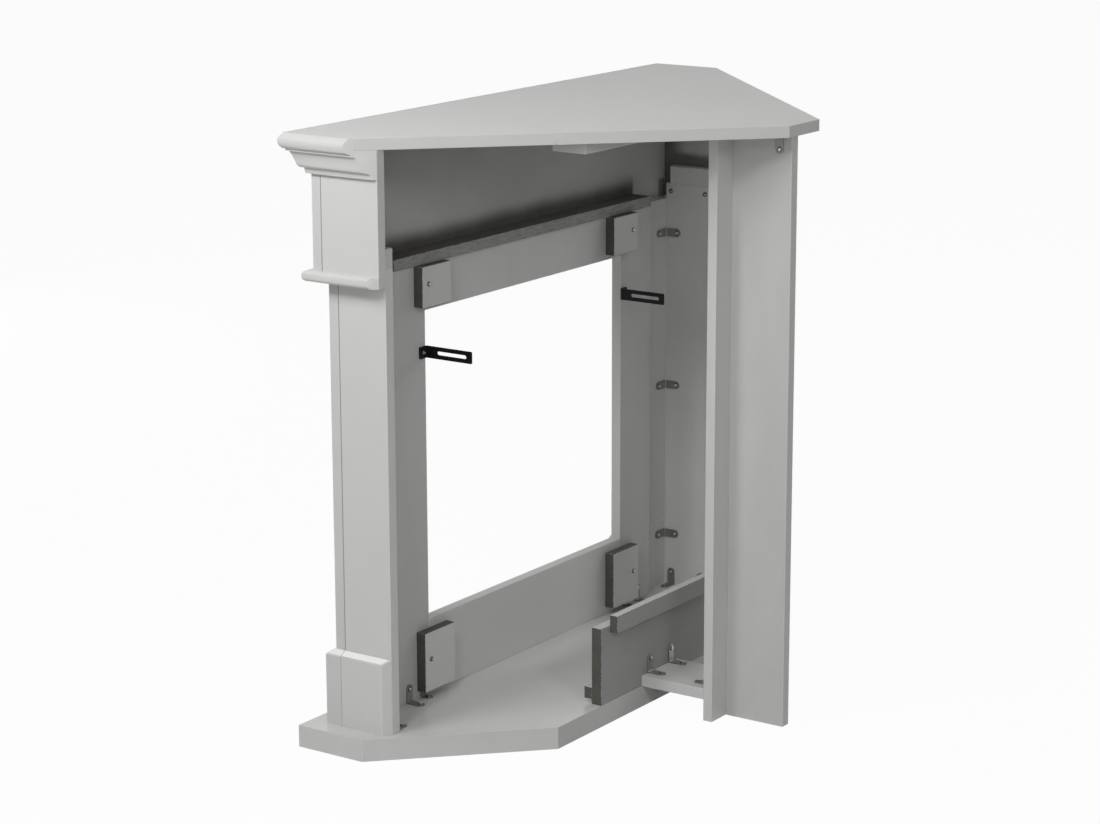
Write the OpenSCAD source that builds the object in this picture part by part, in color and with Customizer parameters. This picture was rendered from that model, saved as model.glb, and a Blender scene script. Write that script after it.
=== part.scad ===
// Corner fireplace surround: a chimneypiece that stands across the corner of a room.
// Its top, mouldings and base end on two walls that meet at a right angle behind it.
// Sizes are millimetres. x runs along the front, y towards the corner, z up.
// Plan positions are measured from the middle of the top's flat front edge; the whole
// object is then moved so that the middle of its footprint is the origin.

/* [Overall size] */
// Overall width across the crown moulding
surround_w = 1034; // [980:1:1300]
// Overall height from the floor to the top
surround_h = 955; // [780:1:1200]
// Length of each straight side, from the top's front edge to the wall
side_return = 123; // [100:1:200]
// Width of the flat that clips the rear corner of the top
apex_w = 90; // [60:2:120]

/* [Top] */
// Thickness of the top boards
top_t = 18; // [15:0.5:25]
// Distance from the front edge to the seam between the two top boards
seam_y = 340; // [280:1:380]
// How far the top boards sit inside the crown's front edge
top_inset = 4; // [2:0.5:6]
// Length of the batten under the seam
seam_batten_l = 496; // [300:1:620]
// Width of the batten under the seam
seam_batten_w = 60; // [40:1:90]
// Thickness of the batten under the seam
seam_batten_t = 18; // [12:1:25]
// How far the seam batten reaches behind the seam
seam_batten_rear = 20.5; // [10:0.5:35]

/* [Crown moulding] */
// How far the half-round stands out of the flat edge
crown_nose = 6; // [4:0.5:8]
// Height of the half-round
crown_nose_h = 22; // [18:0.5:26]
// Height of the flat above the half-round
crown_quirk_h = 1.6; // [0.5:0.1:4]
// Set-back of the fillet under the half-round
crown_fillet_d = 2.5; // [1:0.5:4]
// Height of the fillet under the half-round
crown_fillet_h = 3.9; // [2:0.1:6]
// Set-back of the top of the cove
cove_top_d = 6; // [4.5:0.5:9]
// Height of the cove
cove_h = 19.8; // [16:0.1:28]
// Depth of the cove, from its top to its foot
cove_d = 7.5; // [4:0.5:9]
// Radius of the cove
cove_r = 90; // [18:1:120]
// Depth of the ovolo under the cove
ovolo_d = 8; // [5:0.5:10]
// Height of the ovolo under the cove
ovolo_h = 6; // [4:0.5:9]
// Radius of the ovolo
ovolo_r = 9; // [7.5:0.5:20]
// Height of the sloped foot that meets the frieze
crown_foot_h = 8.5; // [4:0.5:12]
// Slope of the foot, from the ovolo to its lower edge
crown_foot_d = 1.7; // [0.5:0.1:3]

/* [Frieze] */
// Height of the frieze boards
frieze_h = 206; // [150:1:260]
// Thickness of the frieze boards
frieze_t = 17; // [15:0.5:22]
// Distance of the frieze's face behind the top's front edge
frieze_d = 29; // [28:0.5:34]
// Height of the half-round bead at the foot of the frieze
bead_h = 17; // [15:0.5:24]
// How far the bead stands out of the frieze
bead_out = 12.8; // [9:0.1:16]
// Radius of the bead's two rounded edges
bead_r = 7; // [5:0.5:7.5]
// Thickness of the soffit board inside the frieze
soffit_t = 18; // [12:0.5:22]
// Depth of the soffit board behind the frieze board
soffit_d = 40; // [36:1:70]
// How far the soffit board laps over each pilaster
soffit_lap = 35; // [20:1:80]
// Height of the cleat on top of each pilaster side
cleat_h = 30; // [20:1:45]
// Set-back of that cleat from the front of the pilaster side
cleat_back = 8; // [0:1:20]

/* [Pilasters] */
// Width of each pilaster
pilaster_w = 140; // [110:1:160]
// Thickness of the pilaster boards
pilaster_t = 18; // [15:0.5:22]
// Distance of the pilaster's face behind the top's front edge
pilaster_d = 44; // [42:0.5:45]
// How far the pilaster side laps up inside the frieze
pilaster_lap = 27; // [18:1:45]
// Gap between the rear of the pilaster side and the rear of the frieze side
pilaster_rear_gap = 1; // [0:0.5:10]
// Size of the small chamfer on both edges of a board joint
joint_v = 0.8; // [0.2:0.1:1.5]

/* [Field panel] */
// Width of the opening for the fire
open_w = 551; // [440:1:600]
// Height of the panel above the opening
header_h = 74; // [66:1:140]
// Height of the panel below the opening, above the base plate
sill_h = 125; // [112:1:180]
// Thickness of the panel boards
panel_t = 18; // [15:0.5:22]
// How far the panel laps behind each pilaster
panel_lap = 45; // [30:1:70]

/* [Plinths and base plate] */
// Height of the plinths, up to their bevel
plinth_h = 113; // [80:1:150]
// Height of the bevel on the plinths
plinth_bevel_h = 8; // [4:1:12]
// How far the plinths stand out of the pilasters
plinth_out = 12; // [8:1:20]
// Distance of the plinth's rear cut from the wall, along the return
plinth_rear_gap = 18; // [10:1:35]
// Thickness of the base plate
base_t = 35; // [25:1:45]
// Distance of the base plate's edges behind the top's edges
base_inset = 2; // [1:0.5:8]
// Distance from the front edge of the top to the rear edge of the base plate
base_d = 340; // [280:1:360]
// Radius of the two base corners that meet the walls
base_corner_r = 9; // [3:1:25]

/* [Corner blocks] */
// Thickness of the blocks
block_t = 17; // [12:0.5:20]
// How far the blocks reach in from the sides of the opening
block_in = 46; // [30:1:60]
// Length of the upper blocks
block_upper_w = 74; // [66:1:90]
// Height of the upper blocks
block_upper_h = 64; // [40:1:64]
// Distance of the upper blocks above the opening
block_upper_gap = 9; // [2:1:9]
// Length of the lower blocks
block_lower_w = 79; // [66:1:90]
// Height of the lower blocks
block_lower_h = 97; // [60:1:98]
// Distance of the lower blocks above the base plate
block_lower_gap = 13; // [13:1:15]
// Distance of a block's screw from its outer end
block_screw_in = 16; // [8:1:20]
// Distance of a block's screw above its middle
block_screw_up = 4; // [-10:1:10]

/* [Rear rail] */
// Length of the rail across the rear of the base plate
rail_w = 348; // [300:1:420]
// Height of the rail
rail_h = 126; // [90:1:160]
// Thickness of the rail
rail_t = 18; // [15:0.5:22]
// Thickness of the batten in front of the rail
rail_batten_t = 14; // [10:1:22]
// Height of the batten in front of the rail
rail_batten_h = 19; // [12:1:30]
// Height of that batten above the base plate
rail_batten_lift = 8; // [2:1:20]
// Length of the cleat behind the rail
rail_cleat_l = 300; // [200:1:330]
// Thickness of the cleat behind the rail
rail_cleat_t = 14; // [10:1:22]
// Height of the cleat behind the rail
rail_cleat_h = 28; // [24:1:45]
// How far that cleat stands above the rail
rail_cleat_up = 17; // [0:1:20]

/* [Post and stretcher] */
// Width of the stretcher and of the post's cross board
post_w = 105; // [100:1:140]
// Thickness of the stretcher
stretcher_t = 18; // [15:0.5:25]
// Thickness of the post's cross board
post_cross_t = 16; // [12:0.5:22]
// Depth of the post's fin
post_fin_d = 104; // [60:1:120]
// Thickness of the post's fin
post_fin_t = 18; // [12:0.5:22]
// Distance of the fin's rear edge from the clipped corner of the top
post_rear_gap = 13; // [4:1:24]
// How far the stretcher and the post stand to the right of the middle
post_offset = 5; // [-10:1:10]

/* [Angle brackets] */
// Width of the angle brackets
angle_w = 14; // [12:1:18]
// Thickness of the angle brackets
angle_t = 2; // [1.5:0.1:2.5]
// Length of both legs of an angle bracket
angle_leg = 30; // [26:1:32]
// Outer bend radius of the angle brackets
angle_bend_r = 3; // [2.6:0.1:4]
// Height of the upper corner brackets below the frieze
corner_angle_drop = 59; // [40:1:90]
// Height of the lower corner brackets above the base plate
corner_angle_lift = 94; // [60:1:110]
// Set-back of the front side-foot bracket from the pilaster's front board
side_foot_front = 16; // [10:1:24]
// Distance of the rear side-foot bracket from the rear of the pilaster side
side_foot_rear = 12; // [10:1:20]
// Distance of the panel-foot bracket outside the corner block
panel_foot_out = 22; // [12:1:30]
// Length of the foot of the short bracket under the lower block
short_foot = 18; // [17:1:26]
// Length of the upright leg of that bracket
short_leg = 11; // [8:1:12]
// Distance of its centre line inside the end of the block
short_foot_in = 15; // [9:1:20]
// Distance of one rail bracket to the right of the middle
rail_angle_right = 34; // [30:1:44]
// Distance of the other rail bracket to the left of the middle
rail_angle_left = 29; // [20:1:34]
// Distance of the fin bracket's centre line from the rear edge of the fin
fin_angle_in = 21; // [12:1:40]

/* [Swivel brackets for the fire insert] */
// Length of the slotted arm
arm_l = 88; // [60:1:120]
// Height of the arm and of its foot
arm_h = 19; // [15:1:26]
// Thickness of the swivel brackets
arm_t = 2; // [1.5:0.1:3]
// Width of the foot that is screwed to the panel
arm_foot_w = 19; // [17:1:26]
// Length of the slot
slot_l = 56; // [30:1:60]
// Height of the slot
slot_h = 6; // [5:0.5:9]
// Distance of the slot from the panel
slot_start = 22; // [12:1:24]
// Radius of the corners of arm and foot
arm_corner_r = 2; // [1:0.5:4]
// Distance of the swivel axis below the top of the opening
swivel_drop = 65; // [40:1:120]
// Outer bend radius of the swivel brackets
arm_bend_r = 3; // [2.5:0.1:3.5]
// How far the arm stands inside the edge of the opening
arm_inside = 2; // [0:0.5:6]
// Diameter of the pivot screw
pivot_d = 4; // [3:0.1:5]

/* [Screws] */
// Diameter of the screws in the brackets, blocks and lap joints
screw_d = 3.5; // [3:0.1:4.5]
// Diameter of the screw heads
head_d = 8; // [6:0.1:8.5]
// Height of the screw heads
head_h = 2.4; // [1.8:0.1:3.5]
// Length of the screws in the brackets
screw_short = 14; // [10:1:15]
// Distance of the lap screws from the front and rear edges of the pilaster side
lap_screw_in = 10; // [8:1:16]
// Length of the screws in the blocks and lap joints
screw_long = 28; // [22:1:30]

/* [Fits] */
// Clearance around a screw in its hole, on the radius
hole_clear = 0.05; // [0.02:0.01:0.2]
// Clearance around a screw in a steel bracket, on the radius
bracket_hole_clear = 0.4; // [0.2:0.1:0.6]
// Running clearance of the swivel brackets, on the radius and on each face
swivel_clear = 0.05; // [0.02:0.01:0.1]

/* [Hidden] */
$fn = 48;
shank_fn = 24;

// Screw head: share of its height that is upright, share of its width that is flat on
// top, and the two crossed slots of its recess
rim_share = 0.4;
flat_share = 0.6;
recess_share = 0.55;
recess_w = 1;
recess_h = 1.2;

// Paint and metal
paint = [0.77, 0.77, 0.76];
paint_inside = [0.62, 0.62, 0.61];
raw_board = [0.36, 0.33, 0.30];
zinc = [0.55, 0.56, 0.57];
black = [0.10, 0.10, 0.10];
bright = [0.80, 0.80, 0.80];

// Plan of the whole object
flat_x = surround_w / 2 - crown_nose;
wall_sum = flat_x + side_return;
mitre_sum = flat_x;
apex_y = wall_sum - apex_w / 2;
footprint_mid_y = (apex_y - crown_nose) / 2;
reach = surround_w;

// Heights
top_under = surround_h - top_t;
frieze_z = top_under - frieze_h;
open_z0 = base_t + sill_h;
open_z1 = frieze_z - header_h;
plinth_z = base_t + plinth_h;
pilaster_z = plinth_z + plinth_bevel_h;

// Crown profile: set-back d from the flat edge, height z
nose_z1 = surround_h - crown_quirk_h;
nose_z0 = nose_z1 - crown_nose_h;
nose_r = (crown_nose_h * crown_nose_h / 4 + crown_nose * crown_nose) / (2 * crown_nose);
cove_z1 = nose_z0 - crown_fillet_h;
cove_z0 = cove_z1 - cove_h;
cove_low_d = cove_top_d + cove_d;
ovolo_z0 = cove_z0 - ovolo_h;
ovolo_low_d = cove_low_d + ovolo_d;
crown_z0 = ovolo_z0 - crown_foot_h;
crown_low_d = ovolo_low_d + crown_foot_d;

// Frieze and pilasters, right-hand side
frieze_x = flat_x - frieze_d;
pilaster_x = frieze_x - frieze_t;
frieze_back = frieze_d + frieze_t;
frieze_rear = wall_sum - frieze_x;
pilaster_in_x = pilaster_x - pilaster_w;
side_in_x = pilaster_x - pilaster_t;
pilaster_back = pilaster_d + pilaster_t;
pilaster_rear = frieze_rear - pilaster_rear_gap;
pilaster_side_z1 = frieze_z + pilaster_lap;

// Field panel
open_x = open_w / 2;
panel_x = pilaster_in_x + panel_lap;
panel_back = pilaster_back + panel_t;

// Plinths
plinth_x0 = pilaster_in_x - plinth_out;
plinth_x1 = pilaster_x + plinth_out;
plinth_front_y = pilaster_d - plinth_out;
plinth_rear_sum = wall_sum - plinth_rear_gap;

// Corner blocks
block_x0 = open_x - block_in;
block_upper_x1 = block_x0 + block_upper_w;
block_lower_x1 = block_x0 + block_lower_w;
block_upper_z = open_z1 + block_upper_gap;
block_lower_z = base_t + block_lower_gap;
block_upper_screw = block_upper_z + block_upper_h / 2 + block_screw_up;
block_lower_screw = block_lower_z + block_lower_h / 2 + block_screw_up;

// Rear rail, stretcher and post
rail_front = base_d - rail_t;
rail_z1 = base_t + rail_h;
stretcher_z = base_t + stretcher_t;
post_x0 = post_offset - post_w / 2;
post_x1 = post_offset + post_w / 2;
fin_rear = apex_y - post_rear_gap;
cross_back = fin_rear - post_fin_d;
cross_front = cross_back - post_cross_t;

// Brackets
corner_z = [
    frieze_z - corner_angle_drop,
    (frieze_z - corner_angle_drop + base_t + corner_angle_lift) / 2,
    base_t + corner_angle_lift
];
side_foot_y = [pilaster_back + side_foot_front, pilaster_rear - side_foot_rear];
panel_foot_x = block_lower_x1 + panel_foot_out;
short_foot_x = block_lower_x1 - short_foot_in;
swivel_z = open_z1 - swivel_drop;
swivel_x = open_x - arm_inside + arm_foot_w / 2;

// Centre of the arc of radius r through a and b, on the left of the way from a to b
function arc_centre(a, b, r) =
    let (
        chord = b - a,
        len = norm(chord),
        away = sqrt(r * r - len * len / 4)
    )
    (a + b) / 2 + away * [-chord[1], chord[0]] / len;

// ---------------------------------------------------------------- placing

module in_place() {
    translate([0, -footprint_mid_y, 0]) children();
}

module left() {
    mirror([1, 0, 0]) children();
}

module both_sides() {
    children();
    left() children();
}

module box(from, to) {
    translate(from) cube(to - from);
}

// A plan outline raised from z0 to z1
module board(z0, z1) {
    translate([0, 0, z0]) linear_extrude(z1 - z0) children();
}

// A profile drawn as (distance from x = 0 outwards, z), run along y
module run_y(y0, y1) {
    translate([0, y1, 0]) rotate([90, 0, 0]) linear_extrude(y1 - y0) children();
}

// A profile drawn as (y, z), run along x
module run_x(x0, x1) {
    translate([x0, 0, 0]) rotate([90, 0, 90]) linear_extrude(x1 - x0) children();
}

// Everything on the front side of the two lines |x| + y = limit
module inside_lines(limit) {
    board(-1, surround_h + 1)
        polygon([[0, limit], [limit + reach, -reach], [-limit - reach, -reach]]);
}

// The strip between x + y = first and x + y = second
module between_lines(first, second) {
    board(-1, surround_h + 1)
        polygon([
            [first + reach, -reach], [second + reach, -reach],
            [second - reach, reach], [first - reach, reach]
        ]);
}

// ---------------------------------------------------------------- profiles

// The part of a disc through a and b that lies in the window
module arc_segment(a, b, r, window) {
    intersection() {
        translate(arc_centre(a, b, r)) circle(r, $fn = 96);
        polygon(concat([a], window, [b]));
    }
}

module crown_profile() {
    nose_a = [0, nose_z1];
    nose_b = [0, nose_z0];
    cove_a = [cove_low_d, cove_z0];
    cove_b = [cove_top_d, cove_z1];
    ovolo_b = [ovolo_low_d, ovolo_z0];
    difference() {
        union() {
            polygon([
                [top_inset, surround_h], [0, surround_h], nose_b,
                [crown_fillet_d, nose_z0], [crown_fillet_d, cove_z1],
                cove_b, cove_a, ovolo_b,
                [crown_low_d, crown_z0], [frieze_d, crown_z0],
                [frieze_d, top_under], [top_inset, top_under]
            ]);
            arc_segment(nose_a, nose_b, nose_r, [[-nose_r, nose_z1], [-nose_r, nose_z0]]);
            arc_segment(cove_a, ovolo_b, ovolo_r, [[cove_low_d, ovolo_z0]]);
        }
        arc_segment(cove_a, cove_b, cove_r, [[cove_low_d, cove_z1]]);
    }
}

module bead_profile() {
    bead_d = frieze_d - bead_out;
    round_d = bead_d + bead_r;
    for (z = [frieze_z + bead_r, frieze_z + bead_h - bead_r])
        intersection() {
            translate([round_d, z]) circle(bead_r);
            translate([bead_d, frieze_z]) square([bead_r, bead_h]);
        }
    translate([bead_d, frieze_z + bead_r]) square([bead_out, bead_h - 2 * bead_r]);
    translate([round_d, frieze_z]) square([bead_out - bead_r, bead_h]);
}

// A moulding's front run, mitred at both corners
module moulding_front() {
    intersection() {
        run_x(-surround_w, surround_w) children();
        inside_lines(mitre_sum);
    }
}

// A moulding's right return: mitred at the corner, cut off by the wall
module moulding_return() {
    intersection() {
        run_y(-surround_w, surround_w) translate([flat_x, 0]) mirror([1, 0]) children();
        between_lines(mitre_sum, wall_sum);
    }
}

// ---------------------------------------------------------------- screws

// A pan-head screw: its head sits on z = 0 and its shank points down
module screw(d, len) {
    rim_h = head_h * rim_share;
    recess_l = head_d * recess_share;
    difference() {
        union() {
            cylinder(d = head_d, h = rim_h);
            translate([0, 0, rim_h])
                cylinder(d1 = head_d, d2 = head_d * flat_share, h = head_h - rim_h);
            translate([0, 0, -len]) cylinder(d = d, h = len, $fn = shank_fn);
        }
        for (turn = [0, 90])
            rotate(turn)
                translate([-recess_w / 2, -recess_l / 2, head_h - recess_h])
                    cube([recess_w, recess_l, head_h]);
    }
}

// The hole in a board for a screw whose head sits on z = 0
module pilot(d, len) {
    past = 0.5;
    translate([0, 0, -len - past])
        cylinder(d = d + 2 * hole_clear, h = len + 2 * past + angle_t, $fn = shank_fn);
}

// ---------------------------------------------------------------- angle brackets

// The quarter ring of a bend, in the corner at the origin
module bend(r, t) {
    translate([r, r])
        intersection() {
            difference() {
                circle(r);
                circle(r - t);
            }
            translate([-r, -r]) square(r);
        }
}

// One flat of a bracket along y, from the bend to its rounded, drilled end
module angle_flat(len) {
    end_y = len - angle_w / 2;
    difference() {
        union() {
            translate([-angle_w / 2, angle_bend_r]) square([angle_w, end_y - angle_bend_r]);
            translate([0, end_y]) circle(d = angle_w);
        }
        translate([0, end_y]) circle(d = screw_d + 2 * bracket_hole_clear, $fn = shank_fn);
    }
}

// A short upright flat, square and without a hole
module short_flat() {
    translate([-angle_w / 2, angle_bend_r]) square([angle_w, short_leg - angle_bend_r]);
}

// A steel angle with its foot on the XY plane; the children are its upright flat
module angle_bracket(foot) {
    linear_extrude(angle_t) angle_flat(foot);
    translate([0, angle_t, 0]) rotate([90, 0, 0]) linear_extrude(angle_t) children();
    run_x(-angle_w / 2, angle_w / 2) bend(angle_bend_r, angle_t);
}

module full_bracket() {
    angle_bracket(angle_leg) angle_flat(angle_leg);
}

module short_bracket() {
    angle_bracket(short_foot) short_flat();
}

// Puts its children on the screw place in the foot, head outwards
module foot_fixing(foot = angle_leg) {
    translate([0, foot - angle_w / 2, angle_t]) children();
}

// The same for both flats of a full bracket
module both_fixings() {
    foot_fixing() children();
    translate([0, angle_t, angle_leg - angle_w / 2]) rotate([-90, 0, 0]) children();
}

module bracket_pilot() {
    pilot(screw_d, screw_short);
}

// ---------------------------------------------------------------- where fixings are

module at_corner_brackets() {
    for (z = corner_z)
        translate([side_in_x, pilaster_back, z]) rotate([0, -90, 0]) children();
}

module at_side_feet() {
    for (y = side_foot_y)
        translate([side_in_x, y, base_t]) rotate([0, 0, 90]) children();
}

module at_panel_foot() {
    translate([panel_foot_x, panel_back, base_t]) children();
}

module at_short_foot() {
    translate([short_foot_x, panel_back, base_t]) children();
}

module at_rail_brackets() {
    for (x = [rail_angle_right, -rail_angle_left])
        translate([x, base_d, stretcher_z]) children();
}

module at_post_foot() {
    translate([rail_angle_right, cross_front, stretcher_z]) rotate([0, 0, 180]) children();
}

module at_post_top() {
    translate([post_offset + post_fin_t / 2, fin_rear - fin_angle_in, top_under])
        rotate([180, 0, 90]) children();
}

module at_block_screw(x1, z) {
    translate([x1 - block_screw_in, panel_back + block_t, z]) rotate([-90, 0, 0]) children();
}

module at_upper_block_screw() {
    at_block_screw(block_upper_x1, block_upper_screw) children();
}

module at_lower_block_screw() {
    at_block_screw(block_lower_x1, block_lower_screw) children();
}

module at_lap_screws() {
    for (y = [pilaster_back + lap_screw_in, pilaster_rear - lap_screw_in])
        translate([side_in_x, y, frieze_z + pilaster_lap / 2]) rotate([0, -90, 0]) children();
}

module at_pivot() {
    translate([swivel_x, panel_back, swivel_z]) rotate([-90, 0, 0]) children();
}

// ---------------------------------------------------------------- top

module top_main() {
    seam_x = wall_sum - seam_y;
    front_x = flat_x - top_inset;
    color(paint) in_place()
        board(top_under, surround_h)
            polygon([
                [-front_x, top_inset], [front_x, top_inset],
                [front_x, wall_sum - front_x], [seam_x, seam_y],
                [-seam_x, seam_y], [-front_x, wall_sum - front_x]
            ]);
}

module top_rear() {
    seam_x = wall_sum - seam_y;
    color(paint) in_place()
        difference() {
            board(top_under, surround_h)
                polygon([
                    [-seam_x, seam_y], [seam_x, seam_y],
                    [apex_w / 2, apex_y], [-apex_w / 2, apex_y]
                ]);
            at_post_top() foot_fixing() bracket_pilot();
        }
}

module top_seam_batten() {
    rear_y = seam_y + seam_batten_rear;
    color(raw_board) in_place()
        box([-seam_batten_l / 2, rear_y - seam_batten_w, top_under - seam_batten_t],
            [seam_batten_l / 2, rear_y, top_under]);
}

module crown_front() {
    color(paint) in_place() moulding_front() crown_profile();
}

module crown_right() {
    color(paint) in_place() moulding_return() crown_profile();
}

module crown_left() {
    left() crown_right();
}

// ---------------------------------------------------------------- frieze

module frieze_front() {
    color(paint) in_place()
        board(frieze_z, top_under)
            polygon([
                [-frieze_x, frieze_d], [frieze_x, frieze_d],
                [frieze_x, frieze_back - joint_v], [frieze_x - joint_v, frieze_back],
                [joint_v - frieze_x, frieze_back], [-frieze_x, frieze_back - joint_v]
            ]);
}

module frieze_right() {
    color(paint) in_place()
        difference() {
            board(frieze_z, top_under)
                polygon([
                    [pilaster_x, frieze_back], [frieze_x - joint_v, frieze_back],
                    [frieze_x, frieze_back + joint_v],
                    [frieze_x, frieze_rear], [pilaster_x, frieze_rear]
                ]);
            at_lap_screws() pilot(screw_d, screw_long);
        }
}

module frieze_left() {
    left() frieze_right();
}

module bead_front() {
    color(paint) in_place() moulding_front() bead_profile();
}

module bead_right() {
    color(paint) in_place() moulding_return() bead_profile();
}

module bead_left() {
    left() bead_right();
}

module frieze_soffit() {
    half_l = pilaster_in_x + soffit_lap;
    color(paint_inside) in_place()
        box([-half_l, frieze_back, frieze_z], [half_l, frieze_back + soffit_d, frieze_z + soffit_t]);
}

module frieze_cleat_right() {
    color(raw_board) in_place()
        box([side_in_x, pilaster_back + cleat_back, pilaster_side_z1],
            [pilaster_x, pilaster_rear, pilaster_side_z1 + cleat_h]);
}

module frieze_cleat_left() {
    left() frieze_cleat_right();
}

// ---------------------------------------------------------------- pilasters

module pilaster_front_right() {
    color(paint) in_place()
        difference() {
            board(pilaster_z, frieze_z)
                polygon([
                    [pilaster_in_x, pilaster_d], [pilaster_x, pilaster_d],
                    [pilaster_x, pilaster_back - joint_v], [pilaster_x - joint_v, pilaster_back],
                    [pilaster_in_x, pilaster_back]
                ]);
            at_corner_brackets() both_fixings() bracket_pilot();
        }
}

module pilaster_front_left() {
    left() pilaster_front_right();
}

module pilaster_side_right() {
    color(paint) in_place()
        difference() {
            board(base_t, pilaster_side_z1)
                polygon([
                    [side_in_x, pilaster_back], [pilaster_x - joint_v, pilaster_back],
                    [pilaster_x, pilaster_back + joint_v],
                    [pilaster_x, pilaster_rear], [side_in_x, pilaster_rear]
                ]);
            at_corner_brackets() both_fixings() bracket_pilot();
            at_side_feet() both_fixings() bracket_pilot();
            at_lap_screws() pilot(screw_d, screw_long);
        }
}

module pilaster_side_left() {
    left() pilaster_side_right();
}

// ---------------------------------------------------------------- field panel

module panel_stile_right() {
    color(paint_inside) in_place()
        difference() {
            box([open_x, pilaster_back, base_t], [panel_x, panel_back, frieze_z]);
            at_panel_foot() both_fixings() bracket_pilot();
            at_upper_block_screw() pilot(screw_d, screw_long);
            at_lower_block_screw() pilot(screw_d, screw_long);
            at_pivot() pilot(pivot_d, screw_short);
        }
}

module panel_stile_left() {
    left() panel_stile_right();
}

module panel_header() {
    color(paint_inside) in_place()
        box([-open_x, pilaster_back, open_z1], [open_x, panel_back, frieze_z]);
}

module panel_sill() {
    color(paint_inside) in_place()
        box([-open_x, pilaster_back, base_t], [open_x, panel_back, open_z0]);
}

// ---------------------------------------------------------------- plinths and base

module plinth_front_right() {
    color(paint) in_place()
        difference() {
            intersection() {
                run_x(plinth_x0, plinth_x1)
                    polygon([
                        [plinth_front_y, base_t], [pilaster_back, base_t],
                        [pilaster_back, pilaster_z], [pilaster_d, pilaster_z],
                        [plinth_front_y, plinth_z]
                    ]);
                run_y(plinth_front_y, pilaster_back)
                    polygon([
                        [plinth_x0, base_t], [plinth_x1, base_t], [plinth_x1, plinth_z],
                        [pilaster_x, pilaster_z], [pilaster_in_x, pilaster_z],
                        [plinth_x0, plinth_z]
                    ]);
            }
            at_corner_brackets() both_fixings() bracket_pilot();
        }
}

module plinth_front_left() {
    left() plinth_front_right();
}

module plinth_side_right() {
    color(paint) in_place()
        intersection() {
            run_y(pilaster_back, wall_sum)
                polygon([
                    [pilaster_x, base_t], [plinth_x1, base_t],
                    [plinth_x1, plinth_z], [pilaster_x, pilaster_z]
                ]);
            inside_lines(plinth_rear_sum);
        }
}

module plinth_side_left() {
    left() plinth_side_right();
}

// The right half of the base plate's outline, from the front to the rear edge
module base_outline() {
    side_x = flat_x - base_inset;
    corner = [side_x, wall_sum - side_x];
    tangent = base_corner_r * tan(22.5);
    start = corner - [0, tangent];
    end = corner + [-tangent, tangent] * sqrt(0.5);
    polygon([
        [0, base_inset], [side_x, base_inset], start, end,
        [wall_sum - base_d, base_d], [0, base_d]
    ]);
    arc_segment(start, end, base_corner_r, [corner]);
}

module base_plate() {
    color(paint) in_place()
        difference() {
            board(0, base_t) {
                base_outline();
                mirror([1, 0]) base_outline();
            }
            both_sides() {
                at_side_feet() both_fixings() bracket_pilot();
                at_panel_foot() both_fixings() bracket_pilot();
                at_short_foot() foot_fixing(short_foot) bracket_pilot();
            }
        }
}

// ---------------------------------------------------------------- corner blocks

module corner_block(x1, z, h) {
    box([block_x0, panel_back, z], [x1, panel_back + block_t, z + h]);
}

module block_upper_right() {
    color(paint) in_place()
        difference() {
            corner_block(block_upper_x1, block_upper_z, block_upper_h);
            at_upper_block_screw() pilot(screw_d, screw_long);
        }
}

module block_upper_left() {
    left() block_upper_right();
}

module block_lower_right() {
    color(paint) in_place()
        difference() {
            corner_block(block_lower_x1, block_lower_z, block_lower_h);
            at_lower_block_screw() pilot(screw_d, screw_long);
        }
}

module block_lower_left() {
    left() block_lower_right();
}

// ---------------------------------------------------------------- rail, stretcher, post

module rail() {
    color(paint) in_place()
        difference() {
            box([-rail_w / 2, rail_front, base_t], [rail_w / 2, base_d, rail_z1]);
            at_rail_brackets() both_fixings() bracket_pilot();
        }
}

module rail_batten() {
    z = base_t + rail_batten_lift;
    color(raw_board) in_place()
        box([-rail_w / 2, rail_front - rail_batten_t, z], [rail_w / 2, rail_front, z + rail_batten_h]);
}

module rail_cleat() {
    z = rail_z1 + rail_cleat_up;
    color(raw_board) in_place()
        box([-rail_cleat_l / 2, base_d, z - rail_cleat_h], [rail_cleat_l / 2, base_d + rail_cleat_t, z]);
}

module stretcher() {
    color(paint) in_place()
        difference() {
            box([post_x0, base_d, base_t], [post_x1, cross_front, stretcher_z]);
            at_rail_brackets() both_fixings() bracket_pilot();
            at_post_foot() both_fixings() bracket_pilot();
        }
}

module post_cross() {
    color(paint) in_place()
        difference() {
            box([post_x0, cross_front, 0], [post_x1, cross_back, top_under]);
            at_post_foot() both_fixings() bracket_pilot();
        }
}

module post_fin() {
    color(paint) in_place()
        difference() {
            translate([post_offset, 0, 0])
                box([-post_fin_t / 2, cross_back, 0], [post_fin_t / 2, fin_rear, top_under]);
            at_post_top() both_fixings() bracket_pilot();
        }
}

// ---------------------------------------------------------------- brackets

module corner_brackets_right() {
    color(zinc) in_place() at_corner_brackets() full_bracket();
}

module corner_brackets_left() {
    left() corner_brackets_right();
}

module side_foot_brackets_right() {
    color(zinc) in_place() at_side_feet() full_bracket();
}

module side_foot_brackets_left() {
    left() side_foot_brackets_right();
}

module panel_foot_brackets() {
    color(zinc) in_place()
        both_sides() {
            at_panel_foot() full_bracket();
            at_short_foot() short_bracket();
        }
}

module rail_brackets() {
    color(zinc) in_place() at_rail_brackets() full_bracket();
}

module post_foot_bracket() {
    color(zinc) in_place() at_post_foot() full_bracket();
}

module post_top_bracket() {
    color(zinc) in_place() at_post_top() full_bracket();
}

// One flat of the swivel bracket along x, centred on y = 0, with a rounded free end
module swivel_flat(len) {
    straight = len - arm_bend_r - arm_corner_r;
    inner_h = arm_h - 2 * arm_corner_r;
    translate([arm_bend_r, -arm_h / 2]) square([straight, arm_h]);
    translate([len - arm_corner_r, -inner_h / 2]) square([arm_corner_r, inner_h]);
    for (y = [-inner_h / 2, inner_h / 2])
        translate([len - arm_corner_r, y]) circle(arm_corner_r);
}

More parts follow.
